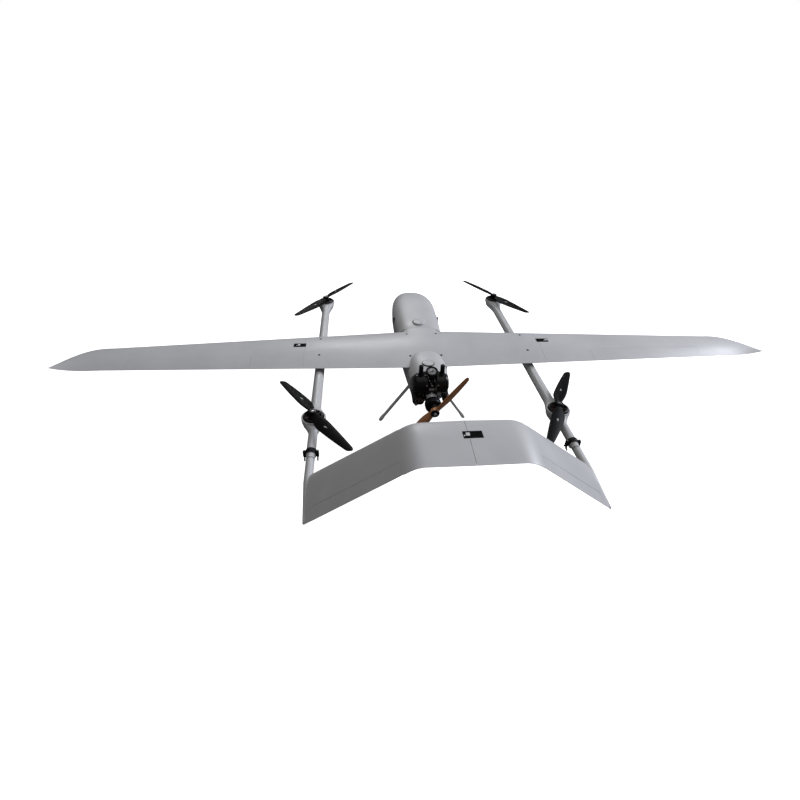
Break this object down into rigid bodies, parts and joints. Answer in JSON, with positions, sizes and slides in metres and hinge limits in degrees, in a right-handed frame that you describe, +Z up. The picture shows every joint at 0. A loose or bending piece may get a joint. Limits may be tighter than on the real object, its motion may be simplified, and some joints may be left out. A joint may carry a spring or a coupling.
{
  "type": "fixed wing drone",
  "caption": "White high-wing drone that takes off vertically on lift rotors under its booms and cruises on a rear petrol pusher engine, with an arch-shaped tail.",
  "frame": {"origin": "on the ground under the centre of the overall box, between the feet", "axes": "+X towards the right wing tip, +Y towards the nose, +Z up"},
  "size_m": [3.192, 1.841, 0.6011],
  "materials": {
    "white_composite": "painted composite skin, satin gloss",
    "black_plastic": "moulded, matte",
    "carbon_fibre": "carbon fibre laminate, satin",
    "black_steel": "blackened, satin",
    "black_aluminium": "black anodised",
    "steel": "satin",
    "aluminium": "machined and cast",
    "varnished_wood": "varnished",
    "tank_plastic": "blow moulded, translucent white",
    "battery_wrap": "shrink wrapped"
  },
  "bodies": {
    "airframe": {"lower_shell": "white_composite", "nose_cover": "white_composite", "wing_saddle": "white_composite", "engine_cowl": "white_composite", "round_caps": "white_composite", "side_vents": "black_plastic", "pitot_tube": "aluminium", "centre_wing": "white_composite", "left_outer_wing": "white_composite", "right_outer_wing": "white_composite", "wing_joiner_spars": "carbon_fibre", "wing_screws": "black_steel", "joint_latches": "black_plastic", "hinge_pins": "steel", "servos": "black_plastic", "left_boom": "white_composite", "right_boom": "white_composite", "left_tail_boom": "white_composite", "right_tail_boom": "white_composite", "boom_clamps": "black_plastic", "left_tail_half": "white_composite", "right_tail_half": "white_composite", "front_left_leg": "white_composite", "front_right_leg": "white_composite", "rear_left_leg": "white_composite", "rear_right_leg": "white_composite", "leg_sockets": "black_plastic", "engine_mount": "aluminium", "crankcase": "aluminium", "cylinders": "aluminium", "cylinder_shrouds": "black_plastic", "mufflers": "black_steel", "carburettor": "aluminium", "air_filter": "black_plastic", "plug_caps": "black_plastic", "fuel_tank": "tank_plastic", "battery_packs": "battery_wrap", "flight_controller": "black_plastic", "payload_plate": "aluminium", "lift_motor_stators": "aluminium"},
    "pusher": {"flywheel": "black_aluminium", "pusher_prop": "varnished_wood", "prop_bolt": "steel"},
    "throttle_lever": {"throttle_lever": "steel"},
    "front_left_lift_rotor": {"front_left_rotor": "black_aluminium", "front_left_lift_prop": "carbon_fibre"},
    "front_right_lift_rotor": {"front_right_rotor": "black_aluminium", "front_right_lift_prop": "carbon_fibre"},
    "rear_left_lift_rotor": {"rear_left_rotor": "black_aluminium", "rear_left_lift_prop": "carbon_fibre"},
    "rear_right_lift_rotor": {"rear_right_rotor": "black_aluminium", "rear_right_lift_prop": "carbon_fibre"},
    "left_aileron": {"left_aileron": "white_composite"},
    "left_ruddervator": {"left_ruddervator": "white_composite"},
    "left_servo_arm": {"left_servo_arm": "black_plastic"},
    "left_pushrod": {"left_pushrod": "steel"},
    "right_aileron": {"right_aileron": "white_composite"},
    "right_ruddervator": {"right_ruddervator": "white_composite"},
    "right_servo_arm": {"right_servo_arm": "black_plastic"},
    "right_pushrod": {"right_pushrod": "steel"}
  },
  "joints": [
    {"name": "front_left_lift_spin", "type": "hinge", "parent": "airframe", "child": "front_left_lift_rotor", "pos_m": [-0.48, 0.681, 0.355], "axis": [0, 0, 1], "continuous": true},
    {"name": "front_right_lift_spin", "type": "hinge", "parent": "airframe", "child": "front_right_lift_rotor", "pos_m": [0.48, 0.681, 0.355], "axis": [0, 0, 1], "continuous": true},
    {"name": "rear_left_lift_spin", "type": "hinge", "parent": "airframe", "child": "rear_left_lift_rotor", "pos_m": [-0.48, -0.373, 0.355], "axis": [0, 0, 1], "continuous": true},
    {"name": "rear_right_lift_spin", "type": "hinge", "parent": "airframe", "child": "rear_right_lift_rotor", "pos_m": [0.48, -0.373, 0.355], "axis": [0, 0, 1], "continuous": true},
    {"name": "pusher_spin", "type": "hinge", "parent": "airframe", "child": "pusher", "pos_m": [0, -0.3, 0.281], "axis": [0, 1, 0], "continuous": true},
    {"name": "right_aileron_hinge", "type": "hinge", "parent": "airframe", "child": "right_aileron", "pos_m": [1.0385, 0.04, 0.3605], "axis": [1, 0, 0], "range_deg": [-25, 25]},
    {"name": "right_servo_arm_turn", "type": "hinge", "parent": "airframe", "child": "right_servo_arm", "pos_m": [1, 0.11, 0.3605], "axis": [1, 0, 0], "range_deg": [-25, 25]},
    {"name": "right_pushrod_pivot", "type": "hinge", "parent": "right_servo_arm", "child": "right_pushrod", "pos_m": [1, 0.11, 0.3265], "axis": [1, 0, 0], "range_deg": [-25, 25]},
    {"name": "right_ruddervator_hinge", "type": "hinge", "parent": "airframe", "child": "right_ruddervator", "pos_m": [0.32176, -0.84904, 0.45149], "axis": [0.7331, 0.1765, -0.6568], "range_deg": [-25, 25]},
    {"name": "left_aileron_hinge", "type": "hinge", "parent": "airframe", "child": "left_aileron", "pos_m": [-1.0385, 0.04, 0.3605], "axis": [1, 0, 0], "range_deg": [-25, 25]},
    {"name": "left_servo_arm_turn", "type": "hinge", "parent": "airframe", "child": "left_servo_arm", "pos_m": [-1, 0.11, 0.3605], "axis": [1, 0, 0], "range_deg": [-25, 25]},
    {"name": "left_pushrod_pivot", "type": "hinge", "parent": "left_servo_arm", "child": "left_pushrod", "pos_m": [-1, 0.11, 0.3265], "axis": [1, 0, 0], "range_deg": [-25, 25]},
    {"name": "left_ruddervator_hinge", "type": "hinge", "parent": "airframe", "child": "left_ruddervator", "pos_m": [-0.32176, -0.84904, 0.45149], "axis": [0.7331, -0.1765, 0.6568], "range_deg": [-25, 25]},
    {"name": "throttle_turn", "type": "hinge", "parent": "airframe", "child": "throttle_lever", "pos_m": [0, -0.194, 0.341], "axis": [0, 1, 0], "range_deg": [0, 70], "stiffness_Nm_per_rad": 0.02, "springref_deg": -20.05}
  ],
  "couplings": [
    {"joint": "right_servo_arm_turn", "follows": "right_aileron_hinge", "ratio": 1},
    {"joint": "right_pushrod_pivot", "follows": "right_aileron_hinge", "ratio": -1},
    {"joint": "left_servo_arm_turn", "follows": "left_aileron_hinge", "ratio": 1},
    {"joint": "left_pushrod_pivot", "follows": "left_aileron_hinge", "ratio": -1}
  ]
}
